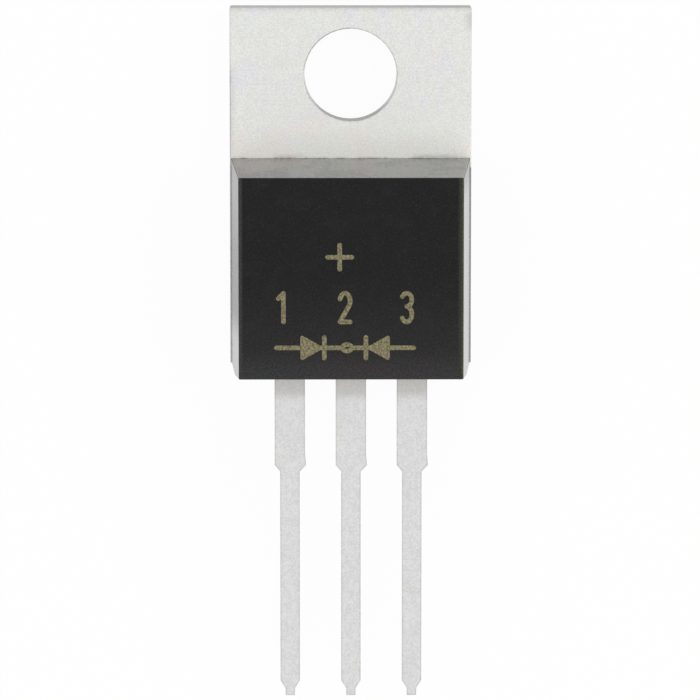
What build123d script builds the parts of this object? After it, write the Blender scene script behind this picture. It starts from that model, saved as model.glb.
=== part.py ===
from build123d import *
from math import radians, tan
import os

# Dual diode in a three-lead flat-tab package, lying on its back. All lengths are in millimetres.
# The origin is the centre of the screw hole on the back of the tab. +Z comes out of the front of
# the body, +Y points to the free end of the tab, and the leads run along -Y.

# Tab, and the plate that carries the chips
tab_width = 10.06
tab_thickness = 1.27
hole_to_tab_end = 2.81
hole_diameter = 3.86
tab_corner_radius = 0.08
stamped_edge_radius = 0.05
plate_to_body_end = 2.92
side_wall = 0.63
lock_step_width = 0.25
lock_step_height = 0.60
lock_groove_width = 0.50
lock_groove_depth = 0.15
lock_groove_inset = 0.80

# Moulded body
hole_to_body = 3.46
body_length = 8.93
package_thickness = 4.57
side_step = 0.04
tab_cover = 0.40
side_draft_front = 6.1
side_draft_back = 3.6
top_draft = 8.3
end_draft_front = 2.7
end_draft_back = 11.2
mould_radius = 0.06

# Leads
lead_pitch = 2.54
lead_thickness = 0.42
lead_cover = 1.48
lead_length = 13.50
shoulder_width = 1.26
shoulder_length = 3.73
shoulder_taper = 0.28
lead_width = 0.81
tip_width = 0.39
tip_taper = 0.33
tip_length = 0.30
burr_width = 0.04
burr_length = 0.45

# Neck of the centre lead, cranked from the plate up to the lead plane
neck_width = 2.30
neck_run = 0.40
neck_taper = 0.60
crank_angle = 50
crank_radius = 0.45

# Bond posts of the outer leads
post_gap = 0.50
post_cover = 0.57
post_depth = 1.10
post_inset = 0.95
post_corner_radius = 0.15

# Chips and their solder
chip_size = 2.60
chip_thickness = 0.28
chip_gap = 1.60
chip_to_plate_end = 0.87
solder_thickness = 0.05
solder_rim = 0.05

# Bond wires, with a wedge-shaped foot at each end
wire_diameter = 0.38
wire_spacing_on_chip = 1.20
wire_spacing_on_post = 1.30
foot_length = 0.90
foot_width = 0.55
foot_height = 0.20
loop_corner_height = 0.85
loop_corner_share = 0.55
loop_radius = 0.90

# Places along Y
tab_end_y = hole_to_tab_end
body_top_y = -hole_to_body
tab_shoulder_y = body_top_y - tab_cover
body_end_y = body_top_y - body_length
plate_end_y = body_end_y + plate_to_body_end
shoulder_end_y = body_end_y - shoulder_length
lead_tip_y = body_end_y - lead_length
post_y = body_end_y + post_inset + post_depth / 2
chip_y = plate_end_y + chip_to_plate_end + chip_size / 2

# Heights above the back of the tab
front_height = package_thickness - tab_thickness
lead_front = package_thickness - lead_cover
lead_back = lead_front - lead_thickness
lead_middle = lead_front - lead_thickness / 2
neck_middle = tab_thickness - lead_thickness / 2
solder_top = tab_thickness + solder_thickness
chip_top = solder_top + chip_thickness


# Distance that a wall leans over a height, at a draft angle in degrees
def lean(height, draft):
    return height * tan(radians(draft))


# Places along X, on the right-hand side
plate_width = tab_width - 2 * side_wall
body_side = tab_width / 2 - side_step
post_inner_x = neck_width / 2 + post_gap
post_outer_x = body_side - lean(lead_middle - tab_thickness, side_draft_front) - post_cover
post_x = (post_inner_x + post_outer_x) / 2
chip_x = (chip_gap + chip_size) / 2


# Front view of a lead on its axis, from root_y inside the body down to the tip.
# The trimmed dam bar leaves a small burr on the right, at the end of the shoulder.
def lead_outline(axis_x, root_y):
    taper_end_y = shoulder_end_y - shoulder_taper
    stub_y = lead_tip_y + tip_length
    with BuildSketch(Plane((axis_x, 0, 0))) as outline:
        with BuildLine():
            Polyline(
                (-shoulder_width / 2, root_y),
                (-shoulder_width / 2, shoulder_end_y),
                (-lead_width / 2, taper_end_y),
                (-lead_width / 2, stub_y + tip_taper),
                (-tip_width / 2, stub_y),
                (-tip_width / 2, lead_tip_y),
                (tip_width / 2, lead_tip_y),
                (tip_width / 2, stub_y),
                (lead_width / 2, stub_y + tip_taper),
                (lead_width / 2, taper_end_y),
                (shoulder_width / 2 + burr_width, shoulder_end_y),
                (shoulder_width / 2, shoulder_end_y + burr_length),
                (shoulder_width / 2, root_y),
                close=True,
            )
        make_face()
    return outline.sketch


# Centre lead: a flat strip that leaves the plate at its front face, is cranked up to the lead
# plane, and is cut to the lead's outline, with a wide neck at the plate
crank_start_y = plate_end_y - neck_run
crank_end_y = crank_start_y - lean(lead_middle - neck_middle, 90 - crank_angle)
neck_root_y = plate_end_y + lead_thickness
with BuildPart() as centre_lead:
    with BuildSketch(Plane.YZ):
        with BuildLine():
            FilletPolyline(
                (neck_root_y, neck_middle),
                (crank_start_y, neck_middle),
                (crank_end_y, lead_middle),
                (lead_tip_y, lead_middle),
                radius=crank_radius,
            )
        trace(line_width=lead_thickness)
    extrude(amount=neck_width, both=True)
    with BuildSketch():
        with BuildLine():
            Polyline(
                (-neck_width / 2, neck_root_y),
                (-neck_width / 2, crank_end_y + neck_taper),
                (-shoulder_width / 2, crank_end_y),
                (shoulder_width / 2, crank_end_y),
                (neck_width / 2, crank_end_y + neck_taper),
                (neck_width / 2, neck_root_y),
                close=True,
            )
        make_face()
        add(lead_outline(0, crank_end_y))
    extrude(amount=package_thickness, mode=Mode.INTERSECT)

# Tab with the screw hole, the plate behind the body, and the centre lead, in one piece
with BuildPart() as tab_with_centre_lead:
    with BuildSketch():
        with Locations((0, tab_end_y)):
            Rectangle(tab_width, tab_end_y - tab_shoulder_y, align=(Align.CENTER, Align.MAX))
        fillet(vertices().group_by(Axis.Y)[-1], radius=tab_corner_radius)
    extrude(amount=tab_thickness)
    with Locations((0, 0, tab_thickness)):
        Hole(radius=hole_diameter / 2, depth=tab_thickness)
    rolled_edges = edges().group_by(Axis.Z)[-1].sort_by(Axis.Y)[1:]
    fillet(rolled_edges, radius=stamped_edge_radius)
    with BuildSketch():
        with Locations((0, tab_shoulder_y)):
            Rectangle(
                plate_width - 2 * lock_step_width,
                tab_shoulder_y - plate_end_y - lock_step_width,
                align=(Align.CENTER, Align.MAX),
            )
    extrude(amount=lock_step_height)
    with BuildSketch(Plane.XY.offset(lock_step_height)):
        with Locations((0, tab_shoulder_y)):
            Rectangle(plate_width, tab_shoulder_y - plate_end_y, align=(Align.CENTER, Align.MAX))
    extrude(amount=tab_thickness - lock_step_height)
    add(centre_lead.part)
    with BuildSketch(Plane.YZ):
        with BuildLine():
            groove_y = body_top_y - lock_groove_inset
            Polyline(
                (groove_y, tab_thickness),
                (groove_y - lock_groove_width / 2, tab_thickness - lock_groove_depth),
                (groove_y - lock_groove_width, tab_thickness),
                close=True,
            )
        make_face()
    extrude(amount=plate_width, both=True, mode=Mode.SUBTRACT)


# Outer lead with its bond post: side is -1 on the left and 1 on the right
def outer_lead(side):
    with BuildPart() as lead:
        with BuildSketch(Plane.XY.offset(lead_back)):
            with Locations((side * post_x, post_y)):
                RectangleRounded(post_outer_x - post_inner_x, post_depth, post_corner_radius)
            add(lead_outline(side * lead_pitch, post_y))
        extrude(amount=lead_thickness)
    return lead


# Square chip or solder layer on the plate, from one height to another
def chip_layer(side, size, bottom, top):
    with BuildPart() as layer:
        with BuildSketch(Plane.XY.offset(bottom)):
            with Locations((side * chip_x, chip_y)):
                Rectangle(size, size)
        extrude(amount=top - bottom)
    return layer


# Bond wire in one upright plane: it rises from a chip, rounds a corner and comes down to the
# post beside it
def bond_wire(start_x, end_x):
    chip_foot = Vector(start_x, chip_y, chip_top)
    post_foot = Vector(end_x, post_y, lead_front)
    span = Vector(end_x - start_x, post_y - chip_y, 0)
    along = span.normalized()
    wire_plane = Plane(origin=chip_foot, x_dir=along, z_dir=along.cross(Vector(0, 0, 1)))
    rise = lead_front - chip_top
    with BuildPart() as wire:
        with BuildLine(wire_plane) as loop:
            FilletPolyline(
                (0, wire_diameter / 2),
                (span.length * loop_corner_share, rise + loop_corner_height),
                (span.length, rise + wire_diameter / 2),
                radius=loop_radius,
            )
        with BuildSketch(Plane(origin=loop.line @ 0, z_dir=loop.line % 0)):
            Circle(wire_diameter / 2)
        sweep()
        for foot in (chip_foot, post_foot):
            with BuildSketch(Plane(origin=foot, x_dir=along, z_dir=(0, 0, 1))):
                SlotOverall(foot_length, foot_width)
            extrude(amount=foot_height)
    return wire


# The pieces that the body is moulded round, by the names of their files
pieces = {"tab_with_centre_lead": tab_with_centre_lead}
for side_name, side in (("left", -1), ("right", 1)):
    pieces[f"outer_lead_{side_name}"] = outer_lead(side)
    solder_size = chip_size + 2 * solder_rim
    pieces[f"chip_solder_{side_name}"] = chip_layer(side, solder_size, tab_thickness, solder_top)
    pieces[f"diode_chip_{side_name}"] = chip_layer(side, chip_size, solder_top, chip_top)
    for place, shift in (("inner", -0.5), ("outer", 0.5)):
        pieces[f"bond_wire_{side_name}_{place}"] = bond_wire(
            side * (chip_x + shift * wire_spacing_on_chip),
            side * (post_x + shift * wire_spacing_on_post),
        )

# Moulded body: its side view and end view give the drafts, its edges are rounded, and it
# closes on every piece inside it
with BuildPart() as moulded_body:
    with BuildSketch(Plane.YZ):
        with BuildLine():
            Polyline(
                (tab_shoulder_y, 0),
                (tab_shoulder_y, tab_thickness),
                (body_top_y, tab_thickness),
                (body_top_y - lean(front_height, top_draft), package_thickness),
                (body_end_y + lean(package_thickness - lead_middle, end_draft_front), package_thickness),
                (body_end_y, lead_middle),
                (body_end_y + lean(lead_middle, end_draft_back), 0),
                close=True,
            )
        make_face()
    extrude(amount=tab_width, both=True)
    with BuildSketch(Plane.XZ):
        with BuildLine():
            front_edge = body_side - lean(front_height, side_draft_front)
            back_edge = tab_width / 2 - lean(tab_thickness, side_draft_back)
            Polyline(
                (0, package_thickness),
                (front_edge, package_thickness),
                (body_side, tab_thickness),
                (tab_width / 2, tab_thickness),
                (back_edge, 0),
                (0, 0),
                close=True,
            )
        make_face()
        mirror(about=Plane.YZ)
    extrude(amount=hole_to_body + body_length, mode=Mode.INTERSECT)
    front_edges = edges().group_by(Axis.Z)[-1]
    corner_edges = edges().filter_by(lambda edge: abs((edge % 0.5).Z) > 0.5)
    corner_edges = corner_edges.filter_by(lambda edge: edge.center().Z > tab_thickness)
    fillet(front_edges + corner_edges, radius=mould_radius)
    for piece in pieces.values():
        add(piece.part, mode=Mode.SUBTRACT)

pieces["moulded_body"] = moulded_body

os.makedirs("parts", exist_ok=True)
for name, piece in pieces.items():
    piece.part.label = name
    export_step(piece.part, f"parts/{name}.step")
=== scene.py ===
import bpy
import math
from mathutils import Matrix, Vector


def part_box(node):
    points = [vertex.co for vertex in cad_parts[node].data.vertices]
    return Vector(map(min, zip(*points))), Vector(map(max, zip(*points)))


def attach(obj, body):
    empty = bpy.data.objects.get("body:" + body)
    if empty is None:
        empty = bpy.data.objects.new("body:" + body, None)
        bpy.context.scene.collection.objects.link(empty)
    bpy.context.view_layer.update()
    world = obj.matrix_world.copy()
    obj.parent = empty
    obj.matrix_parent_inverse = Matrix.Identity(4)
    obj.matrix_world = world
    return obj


# Dual power diode in a flat-tab package, lying on its back on a white table.
# Lengths in the dictionaries are in millimetres, angles in degrees. X runs across the part,
# Y from the leads to the free end of the tab, Z up from the mounting face.
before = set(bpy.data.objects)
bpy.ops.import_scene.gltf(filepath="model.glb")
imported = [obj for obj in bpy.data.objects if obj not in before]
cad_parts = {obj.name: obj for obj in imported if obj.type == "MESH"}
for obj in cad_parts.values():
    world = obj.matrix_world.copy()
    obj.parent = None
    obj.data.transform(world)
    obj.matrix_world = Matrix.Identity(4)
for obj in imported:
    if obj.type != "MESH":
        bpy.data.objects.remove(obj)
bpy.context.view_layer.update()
mm = 0.001
bodyLow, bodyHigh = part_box("moulded_body")
tabLow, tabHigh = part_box("tab_with_centre_lead")
tabWallY, leadWallY = bodyHigh.y / mm, bodyLow.y / mm
print("frame: %d nodes" % len(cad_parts))

# Camera, nearly straight above, leaning a little to the free end of the tab
cameraSet = {
    "aim": (-0.024, -11.542, 1.27),
    "distance": 220,
    "lean": 8.09,
    "turn": -0.40,
    "lens": 270.2,
    "clipStart": 20,
    "clipEnd": 3000,
}


def makeCamera(values):
    lean, turn = math.radians(values["lean"]), math.radians(values["turn"])
    back = Vector((math.sin(turn) * math.cos(lean), math.sin(lean), math.cos(turn) * math.cos(lean)))
    right = Vector((0, 1, 0)).cross(back).normalized()
    up = back.cross(right)
    place = (Vector(values["aim"]) + back * values["distance"]) * mm
    turned = Matrix((right, up, back)).transposed()
    bpy.ops.object.camera_add(location=place, rotation=turned.to_euler())
    made = bpy.context.object
    made.data.lens = values["lens"]
    made.data.clip_start = values["clipStart"] * mm
    made.data.clip_end = values["clipEnd"] * mm
    bpy.context.scene.camera = made


makeCamera(cameraSet)
bpy.context.scene.view_settings.view_transform = "Standard"
print("camera: lens %.1f" % cameraSet["lens"])


# A node with its settings and inputs: an input is a plain value or another node's output
def put(tree, kind, settings=None, inputs=None):
    made = tree.nodes.new("ShaderNode" + kind)
    for key, value in (settings or {}).items():
        setattr(made, key, value)
    for key, value in (inputs or {}).items():
        if isinstance(value, bpy.types.NodeSocket):
            tree.links.new(value, made.inputs[key])
        else:
            made.inputs[key].default_value = value
    return made


def calculate(tree, operation, first, second=0.5):
    return put(tree, "Math", {"operation": operation}, {0: first, 1: second}).outputs[0]


def mixValues(tree, share, first, second):
    return put(tree, "Mix", None, {0: share, 2: first, 3: second}).outputs[0]


def blendColours(tree, share, first, second, mode="MIX"):
    settings = {"data_type": "RGBA", "blend_type": mode}
    return put(tree, "Mix", settings, {0: share, 6: first, 7: second}).outputs[2]


# Colour multiplied by a shade, all over or as far as a mask lets it
def shadeBy(tree, colour, shade, mask=1.0):
    return blendColours(tree, mask, colour, shade, "MULTIPLY")


# Value stretched from one range to another, with soft ends
def ramp(tree, value, fromLow, fromHigh, toLow=0.0, toHigh=1.0):
    inputs = {"Value": value, 1: fromLow, 2: fromHigh, 3: toLow, 4: toHigh}
    return put(tree, "MapRange", {"interpolation_type": "SMOOTHSTEP"}, inputs).outputs[0]


# Place on the part along one axis, in millimetres
def placeAlong(tree, axis):
    place = put(tree, "SeparateXYZ", None, {0: put(tree, "TexCoord").outputs["Object"]}).outputs
    return calculate(tree, "DIVIDE", place[axis], mm)


# The part's own normal at a place, along X, Y and Z
def normalParts(tree):
    return put(tree, "SeparateXYZ", None, {0: put(tree, "TexCoord").outputs["Normal"]}).outputs


# Noise of one size in millimetres
def noiseOver(tree, place, size, detail):
    perMetre = calculate(tree, "DIVIDE", 1 / mm, size)
    return put(tree, "TexNoise", None, {"Vector": place, "Scale": perMetre, **detail}).outputs[0]


groups = {}


def useGroup(tree, name, inputs=None):
    return put(tree, "Group", {"node_tree": groups[name]}, inputs).outputs


# A new shader group with its sockets: name, kind and value of each input, name and kind of each output
def newGroup(name, inputs, outputs):
    tree = bpy.data.node_groups.new(name, "ShaderNodeTree")
    for socketName, kind, value in inputs:
        socket = tree.interface.new_socket(socketName, in_out="INPUT", socket_type="NodeSocket" + kind)
        socket.default_value = value
    for socketName, kind in outputs:
        tree.interface.new_socket(socketName, in_out="OUTPUT", socket_type="NodeSocket" + kind)
    return tree, tree.nodes.new("NodeGroupInput").outputs, tree.nodes.new("NodeGroupOutput").inputs


# Fine grain: lighter and darker grains of one size, that may be stretched along an axis
grainNoise = {"Detail": 3.0, "Roughness": 0.6}
grainMiddle = 0.5


def makeGrainGroup():
    inputs = [("Size", "Float", 0.1), ("Stretch", "Vector", (1, 1, 1)), ("Depth", "Float", 1.0)]
    tree, given, result = newGroup("grain", inputs, [("Value", "Float")])
    stretch = {0: put(tree, "TexCoord").outputs["Object"], 1: given["Stretch"]}
    stretched = put(tree, "VectorMath", {"operation": "DIVIDE"}, stretch).outputs[0]
    noise = noiseOver(tree, stretched, given["Size"], grainNoise)
    centred = calculate(tree, "SUBTRACT", noise, grainMiddle)
    deep = calculate(tree, "MULTIPLY", centred, given["Depth"])
    tree.links.new(calculate(tree, "ADD", deep, grainMiddle), result["Value"])
    return tree


# Soft clouds of a second tint on the first; the thresholds are those of a share of 0 and of 1
cloudSet = {"noise": {"Detail": 2.0, "Roughness": 0.5}, "thresholds": (0.72, 0.28), "softness": 0.07}


def makeTintGroup(values):
    inputs = [("Size", "Float", 1.0), ("Share", "Float", 0.5)]
    inputs += [("First", "Color", (1, 1, 1, 1)), ("Second", "Color", (1, 1, 1, 1))]
    tree, given, result = newGroup("cloudTint", inputs, [("Color", "Color")])
    noise = noiseOver(tree, put(tree, "TexCoord").outputs["Object"], given["Size"], values["noise"])
    threshold = ramp(tree, given["Share"], 0.0, 1.0, *values["thresholds"])
    above = calculate(tree, "SUBTRACT", noise, threshold)
    cloud = ramp(tree, above, -values["softness"], values["softness"])
    tree.links.new(blendColours(tree, cloud, given["First"], given["Second"]), result["Color"])
    return tree


# Sparse specks, more of them the larger the amount
speckSet = {"noise": {"Detail": 1.0, "Roughness": 0.4}, "threshold": 0.85, "softness": 0.06}


def makeSpeckGroup(values):
    inputs = [("Size", "Float", 0.2), ("Amount", "Float", 0.1)]
    tree, given, result = newGroup("specks", inputs, [("Mask", "Float")])
    noise = noiseOver(tree, put(tree, "TexCoord").outputs["Object"], given["Size"], values["noise"])
    threshold = calculate(tree, "SUBTRACT", values["threshold"], given["Amount"])
    above = calculate(tree, "SUBTRACT", noise, threshold)
    tree.links.new(ramp(tree, above, 0.0, values["softness"]), result["Mask"])
    return tree


# Worn or rolled edges: where the rounded normal leaves the flat one
edgeSet = {"samples": 6, "tilts": (0.005, 0.12), "breakupGrain": {"Size": 0.25, "Depth": 3.0}}


def makeEdgeGroup(values):
    inputs = [("Width", "Float", 0.1), ("Breakup", "Float", 0.5)]
    tree, given, result = newGroup("edges", inputs, [("Mask", "Float")])
    width = calculate(tree, "MULTIPLY", given["Width"], mm)
    rounded = put(tree, "Bevel", {"samples": values["samples"]}, {"Radius": width}).outputs[0]
    flat = put(tree, "NewGeometry").outputs["Normal"]
    alike = put(tree, "VectorMath", {"operation": "DOT_PRODUCT"}, {0: rounded, 1: flat}).outputs["Value"]
    edge = ramp(tree, calculate(tree, "SUBTRACT", 1.0, alike), *values["tilts"])
    grain = useGroup(tree, "grain", values["breakupGrain"])["Value"]
    kept = calculate(tree, "SUBTRACT", 1.0, calculate(tree, "MULTIPLY", grain, given["Breakup"]))
    tree.links.new(calculate(tree, "MULTIPLY", edge, kept), result["Mask"])
    return tree


# Band across the part: 1 at one place along Y, fading to 0 at another
def makeBandGroup():
    inputs = [("From", "Float", 0.0), ("To", "Float", 1.0)]
    tree, given, result = newGroup("bandAlongY", inputs, [("Mask", "Float")])
    band = ramp(tree, placeAlong(tree, 1), given["From"], given["To"], 1.0, 0.0)
    tree.links.new(band, result["Mask"])
    return tree


# Which way a surface faces on the part: up or down, to the sides, to the ends.
# Each mask runs from 0 to 1 between two sizes of the normal's part along its axis.
facingSet = {"Flat": (0.3, 0.6), "Side": (0.6, 0.95), "End": (0.6, 0.95)}


def makeFacingGroup(values):
    tree, given, result = newGroup("facing", [], [(name, "Float") for name in values])
    normal = normalParts(tree)
    for name, axis in (("Flat", 2), ("Side", 0), ("End", 1)):
        towards = calculate(tree, "ABSOLUTE", normal[axis])
        tree.links.new(ramp(tree, towards, *values[name]), result[name])
    return tree


groups["grain"] = makeGrainGroup()
groups["cloudTint"] = makeTintGroup(cloudSet)
groups["specks"] = makeSpeckGroup(speckSet)
groups["edges"] = makeEdgeGroup(edgeSet)
groups["bandAlongY"] = makeBandGroup()
groups["facing"] = makeFacingGroup(facingSet)
print("shader groups: " + ", ".join(groups))


def fadeAlongY(tree, start, end):
    return useGroup(tree, "bandAlongY", {"From": start, "To": end})["Mask"]


# New material with one Principled shader, whose constants are set on its own sockets
def newMaterial(name, constants=None):
    made = bpy.data.materials.new(name)
    made.use_nodes = True
    tree = made.node_tree
    tree.nodes.clear()
    shader = put(tree, "BsdfPrincipled", None, constants)
    put(tree, "OutputMaterial", None, {"Surface": shader.outputs[0]})
    return made, tree, shader.inputs


roughGrainRange = (0.3, 0.7)


def roughnessFrom(tree, grain, values):
    return ramp(tree, grain, *roughGrainRange, *values["roughness"])


# Slight unevenness from a grain, over a depth in millimetres
def addBump(tree, shader, grain, depth):
    inputs = {"Height": grain, "Strength": 1.0, "Distance": depth * mm}
    tree.links.new(put(tree, "Bump", None, inputs).outputs[0], shader["Normal"])


# Tin plate on the tab and the leads. Each pair of numbers is where a change starts and where it is
# complete, or the value at either end.
tinSet = {
    "plain": (0.746, 0.755, 0.726, 1),
    "clouds": (
        {"size": 0.8, "share": (0.38, 0.16), "colour": (0.738, 0.740, 0.758, 1)},
        {"size": 1.04, "share": (0.22, 0.46), "colour": (0.760, 0.732, 0.715, 1)},
    ),
    "cloudChange": 2.8,
    "leadClouds": {
        "Size": 1.1,
        "Share": 0.2,
        "First": (0.686, 0.686, 0.688, 1),
        "Second": (0.688, 0.682, 0.662, 1),
    },
    "leadStart": 0.05,
    "fineGrain": {"Size": 0.085, "Depth": 1.0},
    "coarseGrain": {"Size": 0.20, "Stretch": (1, 1.6, 1), "Depth": 1.0},
    "coarseShare": (0.28, 0.35),
    "grainRange": (0.35, 0.65),
    "grainDepth": 0.11,
    "leadEdge": (0.68, 0.68, 0.68, 1),
    "leadWear": {"Width": 0.13, "Breakup": 0.5},
    "shearedEnd": (0.40, 0.40, 0.39, 1),
    "shearedSide": (0.78, 0.78, 0.77, 1),
    "bodyShade": (0.80, 0.79, 0.765, 1),
    "bodyShadeReach": (1.08, 0.60),
    "paintedLightBesideFoot": (
        {"width": 2.8, "colour": (1.065, 1.06, 1.045, 1)},
        {"width": 0.9, "colour": (1.03, 1.03, 1.03, 1)},
    ),
    "footColour": (0.83, 0.83, 0.79, 1),
    "footWidth": 0.09,
    "footPatches": {"Size": 0.5, "Depth": 5.0},
    "footPatchRange": (0.2, 0.9),
    "smears": (
        {"middle": -2.54, "half": 0.95, "share": 0.22},
        {"middle": 3.66, "half": 1.38, "share": 0.32},
    ),
    "smearWidth": 0.24,
    "smearCore": 0.3,
    "smearPatches": {"Size": 0.5, "Depth": 3.0},
    "smearPatchRange": (0.2, 0.8, 0.6, 1.0),
    "holeReach": (2.15, 2.05),
    "holeWallShade": (0.82, 0.82, 0.815, 1),
    "rimTilts": ((0.3, 0.5), (0.998, 0.97)),
    "metalOnRim": 0.15,
    "rolledEdgeShades": {
        "left": {"strips": ((0.08, 0.22), (0.35, 0.12)), "bands": ((0.0, 0.6),)},
        "right": {"strips": ((0.08, 0.07), (0.45, 0.20)), "bands": ((2.25, 1.6), (2.45, 2.72))},
        "freeEnd": {"strips": ((0.06, -0.14), (0.22, 0.14)), "bands": ()},
    },
    "roughness": (0.36, 0.52),
    "bump": 0.006,
}


# Plating of the tab, clouded and brightened by painted light beside the body's wall, and that of the leads
def platingColour(tree, values, onLeads):
    nearWall = fadeAlongY(tree, tabWallY, tabWallY + values["cloudChange"])
    tint = values["plain"]
    for cloud in values["clouds"]:
        share = ramp(tree, nearWall, 0.0, 1.0, *cloud["share"])
        inputs = {"Size": cloud["size"], "Share": share, "First": tint, "Second": cloud["colour"]}
        tint = useGroup(tree, "cloudTint", inputs)["Color"]
    # Painted light: the tab brightened in strips beside the foot of the body's wall
    for strip in values["paintedLightBesideFoot"]:
        near = fadeAlongY(tree, tabWallY, tabWallY + strip["width"])
        tint = shadeBy(tree, tint, strip["colour"], near)
    leadTint = useGroup(tree, "cloudTint", values["leadClouds"])["Color"]
    return blendColours(tree, onLeads, tint, leadTint)


# Worn long edges of the leads, sheared sides and ends, and the dim start of the leads by the body
def shearedColour(tree, values, facing, onLeads, grained):
    edge = useGroup(tree, "edges", values["leadWear"])["Mask"]
    edged = shadeBy(tree, grained, values["leadEdge"], calculate(tree, "MULTIPLY", edge, onLeads))
    cut = blendColours(tree, facing["Side"], values["shearedEnd"], values["shearedSide"])
    sheared = blendColours(tree, facing["Flat"], cut, edged)
    farReach, nearReach = values["bodyShadeReach"]
    clearOfBody = fadeAlongY(tree, leadWallY - farReach, leadWallY - nearReach)
    besideBody = calculate(tree, "MULTIPLY", calculate(tree, "SUBTRACT", 1.0, clearOfBody), onLeads)
    return shadeBy(tree, sheared, values["bodyShade"], besideBody)


# Strip of the tab along the foot of the body's wall
def footStrip(tree, width, onLeads):
    return calculate(tree, "SUBTRACT", fadeAlongY(tree, tabWallY, tabWallY + width), onLeads)


# Darker in patches, right at the foot of the wall
def footMask(tree, values, onLeads):
    strip = footStrip(tree, values["footWidth"], onLeads)
    patchy = useGroup(tree, "grain", values["footPatches"])["Value"]
    return calculate(tree, "MULTIPLY", strip, ramp(tree, patchy, *values["footPatchRange"]))


# Wider smears at some places along the foot, each with its middle along X and half its length
def smearShade(tree, values, onLeads):
    across = placeAlong(tree, 0)
    strip = footStrip(tree, values["smearWidth"], onLeads)
    patchy = useGroup(tree, "grain", values["smearPatches"])["Value"]
    broken = calculate(tree, "MULTIPLY", strip, ramp(tree, patchy, *values["smearPatchRange"]))
    shade = 1.0
    for smear in values["smears"]:
        away = calculate(tree, "ABSOLUTE", calculate(tree, "SUBTRACT", across, smear["middle"]))
        core = smear["half"] * values["smearCore"]
        spot = ramp(tree, away, smear["half"], core, 0.0, smear["share"])
        shade = calculate(tree, "SUBTRACT", shade, calculate(tree, "MULTIPLY", spot, broken))
    return shade


# The screw hole's wall, which gets a painted shade, and its rolled rim where the surface tilts between wall
# and front
def holeMasks(tree, values, facing):
    factors = {0: put(tree, "TexCoord").outputs["Object"], 1: (1 / mm, 1 / mm, 0)}
    flattened = put(tree, "VectorMath", {"operation": "MULTIPLY"}, factors).outputs[0]
    radius = put(tree, "VectorMath", {"operation": "LENGTH"}, {0: flattened}).outputs["Value"]
    nearHole = ramp(tree, radius, *values["holeReach"])
    wall = calculate(tree, "MULTIPLY", nearHole, calculate(tree, "SUBTRACT", 1.0, facing["Flat"]))
    upright = calculate(tree, "ABSOLUTE", normalParts(tree)[2])
    offWall, offFront = [ramp(tree, upright, *tilts) for tilts in values["rimTilts"]]
    tilted = calculate(tree, "MULTIPLY", offWall, offFront)
    return wall, calculate(tree, "MULTIPLY", tilted, nearHole)


# Painted shade of the die roll on the tab: darker towards an edge, over strips that have a width and a
# share to take away, and where the bands along Y let them. A negative share makes the very edge brighter.
def rolledShade(tree, values, facing):
    across, along = placeAlong(tree, 0), placeAlong(tree, 1)
    distances = {
        "left": calculate(tree, "SUBTRACT", across, tabLow.x / mm),
        "right": calculate(tree, "SUBTRACT", tabHigh.x / mm, across),
        "freeEnd": calculate(tree, "SUBTRACT", tabHigh.y / mm, along),
    }
    shade = 1.0
    for name, edge in values["rolledEdgeShades"].items():
        dark = 0.0
        for width, share in edge["strips"]:
            dark = calculate(tree, "ADD", dark, ramp(tree, distances[name], width, 0.0, 0.0, share))
        for full, gone in edge["bands"]:
            dark = calculate(tree, "MULTIPLY", dark, fadeAlongY(tree, full, gone))
        shade = calculate(tree, "SUBTRACT", shade, calculate(tree, "MULTIPLY", dark, facing["Flat"]))
    return shade


def makeTinPlate(values):
    made, tree, shader = newMaterial("tinPlate")
    facing = useGroup(tree, "facing")
    onLeads = fadeAlongY(tree, leadWallY, leadWallY + values["leadStart"])
    fine = useGroup(tree, "grain", values["fineGrain"])["Value"]
    coarse = useGroup(tree, "grain", values["coarseGrain"])["Value"]
    grain = mixValues(tree, ramp(tree, onLeads, 0.0, 1.0, *values["coarseShare"]), fine, coarse)
    darkest, brightest = 1 - values["grainDepth"], 1 + values["grainDepth"]
    grainShade = ramp(tree, grain, *values["grainRange"], darkest, brightest)
    colour = shadeBy(tree, platingColour(tree, values, onLeads), grainShade)
    colour = shearedColour(tree, values, facing, onLeads, colour)
    colour = shadeBy(tree, colour, values["footColour"], footMask(tree, values, onLeads))
    colour = shadeBy(tree, colour, smearShade(tree, values, onLeads))
    inHoleShade, onRim = holeMasks(tree, values, facing)
    # Painted shade: the wall inside the screw hole darkened
    colour = shadeBy(tree, colour, values["holeWallShade"], inHoleShade)
    colour = shadeBy(tree, colour, rolledShade(tree, values, facing))
    tree.links.new(colour, shader["Base Color"])
    tree.links.new(ramp(tree, onRim, 0.0, 1.0, 1.0, values["metalOnRim"]), shader["Metallic"])
    tree.links.new(roughnessFrom(tree, grain, values), shader["Roughness"])
    addBump(tree, shader, grain, values["bump"])
    return made
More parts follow.
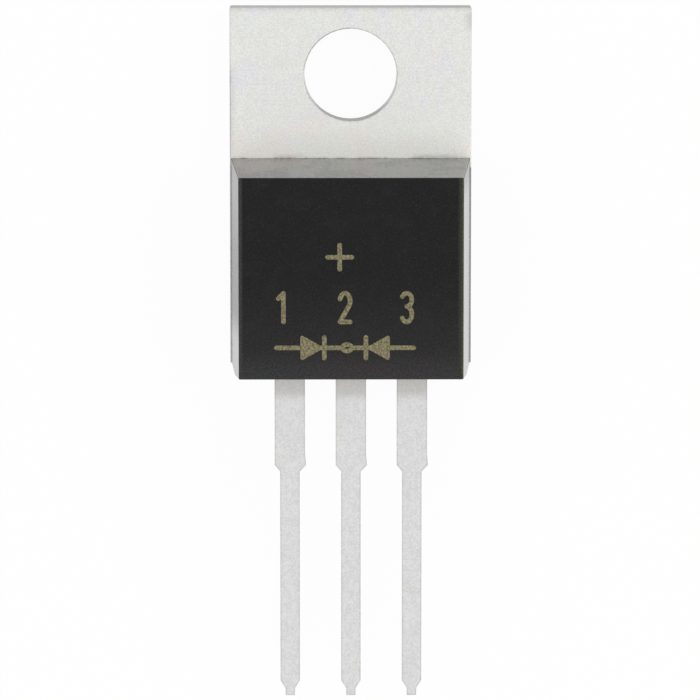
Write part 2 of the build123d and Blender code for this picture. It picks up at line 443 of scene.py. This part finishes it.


# Epoxy moulding compound: spark-eroded grain on the front, and smoother drafted walls, painted paler as a
# sheen
compoundSet = {
    "constants": {"Specular IOR Level": 0.16, "Coat IOR": 1.7, "Coat Roughness": 0.13},
    "fineGrain": {"Size": 0.08, "Depth": 1.0},
    "leftToRight": (-1.0, 1.0),
    "skinClouds": {
        "Size": 0.9,
        "Share": 0.4,
        "First": (0.0104, 0.0104, 0.0108, 1),
        "Second": (0.0134, 0.0122, 0.0130, 1),
    },
    "filler": (0.036, 0.036, 0.035, 1),
    "fillerSpecks": {"Size": 0.07, "Amount": 0.24},
    "fillerShare": 0.3,
    "skinGrainRange": (0.25, 0.75),
    "skinGrainShade": (0.6, 1.4),
    "frontHeights": (2.0, 4.0),
    "frontHalf": 4.635,
    "frontEnd": -12.31,
    "lowEndLight": {
        "Size": 1.3,
        "Share": 0.5,
        "First": (0.033, 0.034, 0.035, 1),
        "Second": (0.037, 0.033, 0.035, 1),
    },
    "lowEndLightReach": ({"reach": (4.8, 0.6), "share": 0.42}, {"reach": (1.4, 0.1), "share": 1.0}),
    "sidePaintedLight": (
        {"side": -1, "reach": (0.20, 0.08), "colour": (0.040, 0.040, 0.040, 1)},
        {"side": 1, "reach": (0.26, 0.14), "colour": (0.034, 0.036, 0.021, 1)},
        {"side": 1, "reach": (0.12, 0.02), "colour": (0.066, 0.070, 0.044, 1)},
    ),
    "worn": (0.050, 0.050, 0.048, 1),
    "wornEdgesWithHighlight": {"Width": 0.05, "Breakup": 0.6},
    "ledgeHighlights": ((0.76, 0.76, 0.77, 1), (0.50, 0.50, 0.50, 1)),
    "sideWallSheen": (0.062, 0.061, 0.069, 1),
    "drawnGrain": {"Size": 0.10, "Stretch": (1, 4, 1), "Depth": 1.0},
    "drawnShade": (0.75, 1.25),
    "tabWallDepths": (2.0, 1.0),
    "tabWall": (0.057, 0.050, 0.041, 1),
    "tabWallClouds": (
        {"Size": 0.5, "Share": 0.5, "Second": (0.044, 0.042, 0.040, 1)},
        {"Size": 1.7, "Share": 0.4, "Second": (0.056, 0.047, 0.036, 1)},
    ),
    "tabWallHeights": (1.3, 4.4),
    "tabWallShade": (1.5, 0.92),
    "tabWallRim": (0.070, 0.068, 0.064, 1),
    "rimHeights": (4.38, 4.53),
    "tabWallGrain": {"Size": 0.13, "Stretch": (1, 1, 3), "Depth": 1.0},
    "tabWallGrainShade": (0.8, 1.2),
    "contactShadeColour": (0.0104, 0.0104, 0.0108, 1),
    "contactHeights": (1.50, 1.34),
    "contactPatches": {"Size": 0.5, "Depth": 5.0},
    "contactPatchRange": (0.2, 0.8, 0.0, 0.56),
    "roughness": (0.58, 0.74),
    "roughnessOverTab": 0.22,
    "slowWear": {"Size": 1.7, "Depth": 8.0},
    "quickWear": {"Size": 0.14, "Stretch": (1, 1, 4), "Depth": 5.0},
    "quickShare": 0.5,
    "wearRange": (0.1, 0.62),
    "metalOverTab": (0.15, 1.0),
    "coatOverTab": (0.84, 1.0),
    "coatOverLeads": 0.8,
    "coatOnSides": (
        {"coat": 0.64, "change": 0.15, "nearTab": (-4.4, -8.0)},
        {"coat": 1.0, "change": -0.2, "nearTab": (-4.0, -5.0)},
    ),
    "brightCorners": (-11.0, -9.5),
    "bump": 0.012,
}


# Dark skin with filler grains, as on the front and the back
def skinColour(tree, values):
    tint = useGroup(tree, "cloudTint", values["skinClouds"])["Color"]
    specks = useGroup(tree, "specks", values["fillerSpecks"])["Mask"]
    filled = calculate(tree, "MULTIPLY", specks, values["fillerShare"])
    return blendColours(tree, filled, tint, values["filler"])


# The front: the skin, with painted light paler towards the lower end and the sides, and worn on its edges
# with a painted highlight
def frontColour(tree, values, place, skin):
    half, end = values["frontHalf"], values["frontEnd"]
    lowEndLitColour = useGroup(tree, "cloudTint", values["lowEndLight"])["Color"]
    colour = skin
    # Painted light: paler towards the lower end
    for part in values["lowEndLightReach"]:
        far, near = part["reach"]
        low = ramp(tree, place[1], end + far, end + near, 0.0, part["share"])
        colour = blendColours(tree, low, colour, lowEndLitColour)
    # Painted light: paler towards the sides
    for border in values["sidePaintedLight"]:
        far, near = border["reach"]
        atBorder = ramp(tree, place[0], border["side"] * (half - far), border["side"] * (half - near))
        colour = blendColours(tree, atBorder, colour, border["colour"])
    # Edges lighter: wear, together with a painted highlight on their rounding
    edge = useGroup(tree, "edges", values["wornEdgesWithHighlight"])["Mask"]
    return blendColours(tree, edge, colour, values["worn"])


# All that faces up or down: the front, the back and the ledges at the sides, painted pale as a highlight
def flatColour(tree, values, place, onRight, fine):
    skin = skinColour(tree, values)
    grainShade = ramp(tree, fine, *values["skinGrainRange"], *values["skinGrainShade"])
    front = shadeBy(tree, frontColour(tree, values, place, skin), grainShade)
    back = shadeBy(tree, skin, grainShade)
    # Painted highlight: the narrow ledges beside the tab painted pale, the left one paler
    ledgeHighlight = blendColours(tree, onRight, *values["ledgeHighlights"])
    upwards = ramp(tree, normalParts(tree)[2], *facingSet["Flat"])
    backOrLedge = blendColours(tree, upwards, back, ledgeHighlight)
    return blendColours(tree, ramp(tree, place[2], *values["frontHeights"]), backOrLedge, front)


# The end wall over the tab, and the one over the leads
def splitEnds(tree, values, facing, place):
    far, near = values["tabWallDepths"]
    atTab = ramp(tree, place[1], tabWallY - far, tabWallY - near)
    overTab = calculate(tree, "MULTIPLY", facing["End"], atTab)
    return overTab, calculate(tree, "SUBTRACT", facing["End"], overTab)


# Painted contact shade: a dark line where the end wall meets the tab, in patches
def contactShadeMask(tree, values, place, overTab):
    patchy = useGroup(tree, "grain", values["contactPatches"])["Value"]
    near = ramp(tree, place[2], *values["contactHeights"])
    patched = calculate(tree, "MULTIPLY", near, ramp(tree, patchy, *values["contactPatchRange"]))
    return calculate(tree, "MULTIPLY", patched, overTab)


# The end wall over the tab: painted paler as a sheen and mottled, with painted light brighter towards its
# foot, pale along the front and dark with painted contact shade where it meets the tab
def tabWallColour(tree, values, place, contact):
    colour = values["tabWall"]
    for cloud in values["tabWallClouds"]:
        colour = useGroup(tree, "cloudTint", {"First": colour, **cloud})["Color"]
    # Painted light: the wall brighter towards its foot
    shade = ramp(tree, place[2], *values["tabWallHeights"], *values["tabWallShade"])
    colour = shadeBy(tree, colour, shade)
    colour = blendColours(tree, ramp(tree, place[2], *values["rimHeights"]), colour, values["tabWallRim"])
    # Painted shade along the contact with the tab
    colour = blendColours(tree, contact, colour, values["contactShadeColour"])
    grain = useGroup(tree, "grain", values["tabWallGrain"])["Value"]
    return shadeBy(tree, colour, ramp(tree, grain, *roughGrainRange, *values["tabWallGrainShade"]))


# Side walls and the wall over the leads, painted paler as a sheen, with the lines that the mould draws on
# them
def drawnColour(tree, values):
    grain = useGroup(tree, "grain", values["drawnGrain"])["Value"]
    return shadeBy(tree, values["sideWallSheen"], ramp(tree, grain, *roughGrainRange, *values["drawnShade"]))


# Gloss of the left and the right side wall, which changes towards the tab and is full beside the leads
def coatOfSides(tree, values, onRight):
    coats = []
    for side in values["coatOnSides"]:
        change = calculate(tree, "MULTIPLY", fadeAlongY(tree, *side["nearTab"]), side["change"])
        coats.append(calculate(tree, "ADD", side["coat"], change))
    atCorners = fadeAlongY(tree, *values["brightCorners"])
    return mixValues(tree, atCorners, mixValues(tree, onRight, *coats), 1.0)


# Polish of the wall over the tab, streaked by wear and gone at the contact line
def polishOverTab(tree, values, worn, reach, overTab, contact):
    polish = calculate(tree, "SUBTRACT", ramp(tree, worn, *values["wearRange"], *reach), contact)
    return calculate(tree, "MULTIPLY", overTab, polish)


def makeMouldCompound(values):
    made, tree, shader = newMaterial("mouldCompound", values["constants"])
    place = [placeAlong(tree, axis) for axis in range(3)]
    facing = useGroup(tree, "facing")
    fine = useGroup(tree, "grain", values["fineGrain"])["Value"]
    onRight = ramp(tree, place[0], *values["leftToRight"])
    overTab, overLeads = splitEnds(tree, values, facing, place)
    contact = contactShadeMask(tree, values, place, overTab)
    flat = flatColour(tree, values, place, onRight, fine)
    drawn = calculate(tree, "MAXIMUM", facing["Side"], overLeads)
    colour = blendColours(tree, drawn, flat, drawnColour(tree, values))
    colour = blendColours(tree, overTab, colour, tabWallColour(tree, values, place, contact))
    tree.links.new(colour, shader["Base Color"])
    rough = mixValues(tree, overTab, roughnessFrom(tree, fine, values), values["roughnessOverTab"])
    tree.links.new(rough, shader["Roughness"])
    slow = useGroup(tree, "grain", values["slowWear"])["Value"]
    quick = useGroup(tree, "grain", values["quickWear"])["Value"]
    worn = mixValues(tree, values["quickShare"], slow, quick)
    metal = polishOverTab(tree, values, worn, values["metalOverTab"], overTab, contact)
    tree.links.new(metal, shader["Metallic"])
    coatEnd = polishOverTab(tree, values, worn, values["coatOverTab"], overTab, contact)
    coatSide = calculate(tree, "MULTIPLY", facing["Side"], coatOfSides(tree, values, onRight))
    coatLeads = calculate(tree, "MULTIPLY", overLeads, values["coatOverLeads"])
    coat = calculate(tree, "MAXIMUM", coatEnd, calculate(tree, "MAXIMUM", coatSide, coatLeads))
    tree.links.new(coat, shader["Coat Weight"])
    addBump(tree, shader, fine, values["bump"])
    return made


# Laser marking: the compound's skin burnt to a pale, rough khaki
markSet = {
    "constants": {"Specular IOR Level": 0.2},
    "clouds": {
        "Size": 0.25,
        "Share": 0.5,
        "First": (0.300, 0.285, 0.150, 1),
        "Second": (0.325, 0.270, 0.180, 1),
    },
    "burnt": (0.120, 0.106, 0.056, 1),
    "grain": {"Size": 0.085, "Depth": 4.0},
    "roughness": (0.65, 0.9),
    "bump": 0.008,
}


def makeLaserMark(values):
    made, tree, shader = newMaterial("laserMark", values["constants"])
    pale = useGroup(tree, "cloudTint", values["clouds"])["Color"]
    grain = useGroup(tree, "grain", values["grain"])["Value"]
    tree.links.new(blendColours(tree, grain, values["burnt"], pale), shader["Base Color"])
    tree.links.new(roughnessFrom(tree, grain, values), shader["Roughness"])
    addBump(tree, shader, grain, values["bump"])
    return made


# The sealed pieces: silicon, solder and bond wire differ in colours, grain and roughness alone
innerSets = {
    "silicon": {
        "constants": {"Metallic": 0.35, "Specular IOR Level": 0.6},
        "colours": ((0.16, 0.17, 0.21, 1), (0.22, 0.23, 0.26, 1)),
        "grain": {"Size": 0.30, "Depth": 1.8},
        "roughness": (0.18, 0.30),
        "bump": 0.001,
    },
    "solder": {
        "constants": {"Metallic": 1.0},
        "colours": ((0.44, 0.44, 0.46, 1), (0.62, 0.62, 0.63, 1)),
        "grain": {"Size": 0.12, "Depth": 1.8},
        "roughness": (0.35, 0.60),
        "bump": 0.010,
    },
    "bondWire": {
        "constants": {"Metallic": 1.0},
        "colours": ((0.78, 0.79, 0.80, 1), (0.88, 0.89, 0.90, 1)),
        "grain": {"Size": 0.06, "Stretch": (1, 9, 1), "Depth": 1.8},
        "roughness": (0.25, 0.42),
        "bump": 0.003,
    },
}


def makeInnerFinish(name, values):
    made, tree, shader = newMaterial(name, values["constants"])
    grain = useGroup(tree, "grain", values["grain"])["Value"]
    tree.links.new(blendColours(tree, grain, *values["colours"]), shader["Base Color"])
    tree.links.new(roughnessFrom(tree, grain, values), shader["Roughness"])
    addBump(tree, shader, grain, values["bump"])
    return made


tinPlate = makeTinPlate(tinSet)
mouldCompound = makeMouldCompound(compoundSet)
laserMark = makeLaserMark(markSet)
innerFinishes = {name: makeInnerFinish(name, values) for name, values in innerSets.items()}

# Which node wears which finish, by the start of the node's name
finishes = {
    "tab_with_centre_lead": tinPlate,
    "outer_lead": tinPlate,
    "moulded_body": mouldCompound,
    "diode_chip": innerFinishes["silicon"],
    "chip_solder": innerFinishes["solder"],
    "bond_wire": innerFinishes["bondWire"],
}


def dressNodes():
    for nodeName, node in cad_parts.items():
        finish = next(made for start, made in finishes.items() if nodeName.startswith(start))
        if not node.material_slots:
            node.data.materials.append(finish)
        for materialSlot in node.material_slots:
            materialSlot.material = finish


dressNodes()
print("materials: %d" % len(bpy.data.materials))

# Marks on the front face. Each stroke is a flattened tube with round ends, half sunk in the face.
strokeSet = {
    "width": 0.19,
    "height": 0.02,
    "lift": 0.001,
    "stepsPerTurn": 28,
    "leastSteps": 3,
    "roundness": 3,
    "tipSteps": 3,
    "tipRadius": 0.05,
    "joinDistance": 0.0005,
    "smoothAngle": 40,
}


# Points of a bow, an arc of an ellipse, from one angle to another
def bow(centre, radii, start, end):
    steps = max(strokeSet["leastSteps"], round(abs(end - start) / 360 * strokeSet["stepsPerTurn"]))
    points = []
    for step in range(steps + 1):
        angle = math.radians(start + (end - start) * step / steps)
        points.append((centre[0] + radii[0] * math.cos(angle), centre[1] + radii[1] * math.sin(angle)))
    return points


# Round tip beyond the end of a stroke: points with the tube's radius there, from the end outwards
def roundTip(last, before):
    outwards = (Vector(last) - Vector(before)).normalized()
    tips = []
    for step in range(1, strokeSet["tipSteps"] + 1):
        angle = math.radians(90 * step / strokeSet["tipSteps"])
        place = Vector(last) + outwards * math.sin(angle) * strokeSet["width"] / 2
        tips.append((place.x, place.y, max(math.cos(angle), strokeSet["tipRadius"])))
    return tips


# One stroke through its points, or round them if it is closed
def drawStroke(points, closed=False):
    rows = [(x, y, 1.0) for x, y in points]
    if not closed:
        headTip, tailTip = roundTip(points[0], points[1]), roundTip(points[-1], points[-2])
        rows = headTip[::-1] + rows + tailTip
    curve = bpy.data.curves.new("stroke", "CURVE")
    curve.dimensions = "3D"
    curve.bevel_depth = strokeSet["width"] / 2 * mm
    curve.bevel_resolution = strokeSet["roundness"]
    curve.use_fill_caps = not closed
    spline = curve.splines.new("POLY")
    spline.points.add(len(rows) - 1)
    for point, (x, y, radius) in zip(spline.points, rows):
        point.co = (x * mm, y * mm, 0, 1)
        point.radius = radius
    spline.use_cyclic_u = closed
    stroke = bpy.data.objects.new("stroke", curve)
    bpy.context.collection.objects.link(stroke)
    bpy.ops.object.select_all(action="DESELECT")
    stroke.select_set(True)
    bpy.context.view_layer.objects.active = stroke
    bpy.ops.object.convert(target="MESH")
    stroke.scale.z = strokeSet["height"] / strokeSet["width"]
    return stroke


# Filled triangle with rounded corners, pointing along X. It starts as one in a circle of radius 1,
# so it is 1.5 long, and its middle is a third of that from the base.
triangleSet = {"corner": 0.15, "cornerSteps": 4, "startLength": 1.5}


def drawTriangle(values, baseX, pointX, halfHeight):
    bpy.ops.object.select_all(action="DESELECT")
    reach = pointX - baseX
    bpy.ops.mesh.primitive_circle_add(vertices=3, radius=1, fill_type="NGON", rotation=(0, 0, -math.pi / 2))
    triangle = bpy.context.object
    bpy.ops.object.transform_apply(location=False, rotation=True, scale=False)
    startHalf = math.sin(math.radians(60))
    triangle.scale = (reach / values["startLength"] * mm, halfHeight / startHalf * mm, 1)
    triangle.location = ((baseX + reach / 3) * mm, 0, -strokeSet["height"] / 2 * mm)
    bpy.ops.object.transform_apply(location=False, rotation=False, scale=True)
    bpy.ops.object.mode_set(mode="EDIT")
    bpy.ops.mesh.select_all(action="SELECT")
    bpy.ops.mesh.bevel(offset=values["corner"] * mm, segments=values["cornerSteps"], affect="VERTICES")
    bpy.ops.mesh.select_all(action="SELECT")
    bpy.ops.mesh.extrude_region_move(TRANSFORM_OT_translate={"value": (0, 0, strokeSet["height"] * mm)})
    bpy.ops.object.mode_set(mode="OBJECT")
    return triangle


# Joins the strokes of one mark, with its place in its mesh and its normals outwards
def finishMark(name, strokes, middle):
    bpy.ops.object.select_all(action="DESELECT")
    for order, stroke in enumerate(strokes):
        lift = order * strokeSet["lift"] * mm
        stroke.location += Vector((middle[0] * mm, middle[1] * mm, bodyHigh.z + lift))
        stroke.select_set(True)
    bpy.context.view_layer.objects.active = strokes[0]
    bpy.ops.object.transform_apply(location=True, rotation=True, scale=True)
    bpy.ops.object.join()
    mark = bpy.context.object
    mark.name = name
    bpy.ops.object.mode_set(mode="EDIT")
    bpy.ops.mesh.select_all(action="SELECT")
    bpy.ops.mesh.remove_doubles(threshold=strokeSet["joinDistance"] * mm)
    bpy.ops.mesh.normals_make_consistent(inside=False)
    bpy.ops.object.mode_set(mode="OBJECT")
    bpy.ops.object.shade_smooth_by_angle(angle=math.radians(strokeSet["smoothAngle"]))
    mark.data.materials.clear()
    mark.data.materials.append(laserMark)
    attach(mark, "root")


# Lead numbers over the leads, the row a little left of the middle. Heights of flag and bows are
# shares of a digit's height.
numberSet = {
    "rowY": -9.31,
    "shiftX": -0.25,
    "height": 1.19,
    "width": 0.42,
    "pitch": 2.54,
    "flag": 0.32,
    "bowOfTwo": {"radius": 0.27, "start": 165, "end": -35},
    "topOfThree": {"radius": 0.23, "start": 150, "end": -90},
    "lowOfThree": {"radius": 0.27, "start": 90, "end": -150},
}


def drawOne(values, width, height):
    flag = [(-width / 2, height * values["flag"]), (0, height / 2)]
    return [flag, [(0, height / 2), (0, -height / 2)]]


# Bow of a digit that touches its top, or its foot
def digitBow(shape, width, height, atTop):
    radius = height * shape["radius"]
    middleY = height / 2 - radius if atTop else -height / 2 + radius
    return bow((0, middleY), (width / 2, radius), shape["start"], shape["end"])


def drawTwo(values, width, height):
    foot = (-width / 2, -height / 2)
    top = digitBow(values["bowOfTwo"], width, height, True)
    return [top + [foot], [foot, (width / 2, -height / 2)]]


def drawThree(values, width, height):
    top = digitBow(values["topOfThree"], width, height, True)
    return [top, digitBow(values["lowOfThree"], width, height, False)]


def makeNumbers(values):
    for index, draw in enumerate((drawOne, drawTwo, drawThree)):
        strokes = [drawStroke(points) for points in draw(values, values["width"], values["height"])]
        middle = (values["shiftX"] + (index - 1) * values["pitch"], values["rowY"])
        finishMark("mark_number_%d" % (index + 1), strokes, middle)


# Plus sign for the common cathode
plusSet = {"middle": (-0.47, -7.22), "size": 1.0}


def makePlus(values):
    reach = values["size"] / 2
    strokes = [drawStroke([(-reach, 0), (reach, 0)]), drawStroke([(0, -reach), (0, reach)])]
    finishMark("mark_plus", strokes, values["middle"])


# Circuit symbol of two diodes that share their cathode
symbolSet = {
    "middle": (-0.249, -10.981),
    "lineReach": 2.83,
    "ringX": 0.08,
    "ring": (0.185, 0.135),
    "ringTurn": 350,
    "barX": 0.858,
    "barReach": 0.427,
    "triangleBase": 1.843,
    "triangleHalf": 0.56,
}


def makeSymbol(values):
    ring = bow((values["ringX"], 0), values["ring"], 0, values["ringTurn"])
    strokes = [drawStroke(ring, closed=True)]
    for side in (-1, 1):
        ringEdge = values["ringX"] + side * (values["ring"][0] + strokeSet["width"] / 2)
        strokes.append(drawStroke([(side * values["lineReach"], 0), (ringEdge, 0)]))
        bar = side * values["barX"]
        strokes.append(drawStroke([(bar, -values["barReach"]), (bar, values["barReach"])]))
        base = side * values["triangleBase"]
        strokes.append(drawTriangle(triangleSet, base, bar, values["triangleHalf"]))
    finishMark("mark_symbol", strokes, values["middle"])


makeNumbers(numberSet)
makePlus(plusSet)
makeSymbol(symbolSet)
print("marks: 5 pieces")

# Table: white to the camera, to gloss and through glass, and with the object's soft shadow
tableSet = {"size": 900, "drop": 0.02, "colour": (0.90, 0.90, 0.90, 1), "whiteShare": 0.95}


def makeTable(values):
    bpy.ops.object.select_all(action="DESELECT")
    bpy.ops.mesh.primitive_plane_add(size=values["size"] * mm, location=(0, 0, -values["drop"] * mm))
    table = bpy.context.object
    table.name = "table"
    made = bpy.data.materials.new("tableTop")
    made.use_nodes = True
    tree = made.node_tree
    tree.nodes.clear()
    paper = put(tree, "BsdfDiffuse", None, {"Color": values["colour"]}).outputs[0]
    white = put(tree, "Emission", None, {"Color": (1, 1, 1, 1), "Strength": 1.0}).outputs[0]
    rays = put(tree, "LightPath").outputs
    seen = calculate(tree, "MAXIMUM", rays["Is Camera Ray"], rays["Is Glossy Ray"])
    seen = calculate(tree, "MAXIMUM", seen, rays["Is Transmission Ray"])
    share = calculate(tree, "MULTIPLY", seen, values["whiteShare"])
    mixed = put(tree, "MixShader", None, {0: share, 1: paper, 2: white}).outputs[0]
    put(tree, "OutputMaterial", None, {"Surface": mixed})
    table.data.materials.append(made)


# Light: an even white room, a soft box overhead and a smaller one from the right
roomSet = {"light": 0.86, "seen": 1.0}
lampSet = {
    "overhead": {"place": (0, -60, 600), "size": 500, "power": 0.20},
    "rightHand": {"place": (420, 120, 420), "size": 260, "power": 0.36},
}


def makeRoom(values):
    world = bpy.data.worlds.new("whiteRoom")
    bpy.context.scene.world = world
    world.use_nodes = True
    tree = world.node_tree
    tree.nodes.clear()
    cameraRay = put(tree, "LightPath").outputs["Is Camera Ray"]
    inputs = {"Value": cameraRay, 1: 0.0, 2: 1.0, 3: values["light"], 4: values["seen"]}
    strength = put(tree, "MapRange", None, inputs).outputs[0]
    light = put(tree, "Background", None, {"Color": (1, 1, 1, 1), "Strength": strength})
    put(tree, "OutputWorld", None, {"Surface": light.outputs[0]})


def makeLamps(values):
    middle = Vector((0, (bodyLow.y + tabHigh.y) / 2, 0))
    for name, lamp in values.items():
        place = Vector(lamp["place"]) * mm
        aim = (place - middle).to_track_quat("Z", "Y").to_euler()
        bpy.ops.object.light_add(type="AREA", location=place, rotation=aim)
        made = bpy.context.object
        made.name = name
        made.data.shape = "SQUARE"
        made.data.size = lamp["size"] * mm
        made.data.energy = lamp["power"]
        made.visible_camera = False


makeTable(tableSet)
makeRoom(roomSet)
makeLamps(lampSet)
print("table, room and %d lamps" % len(lampSet))
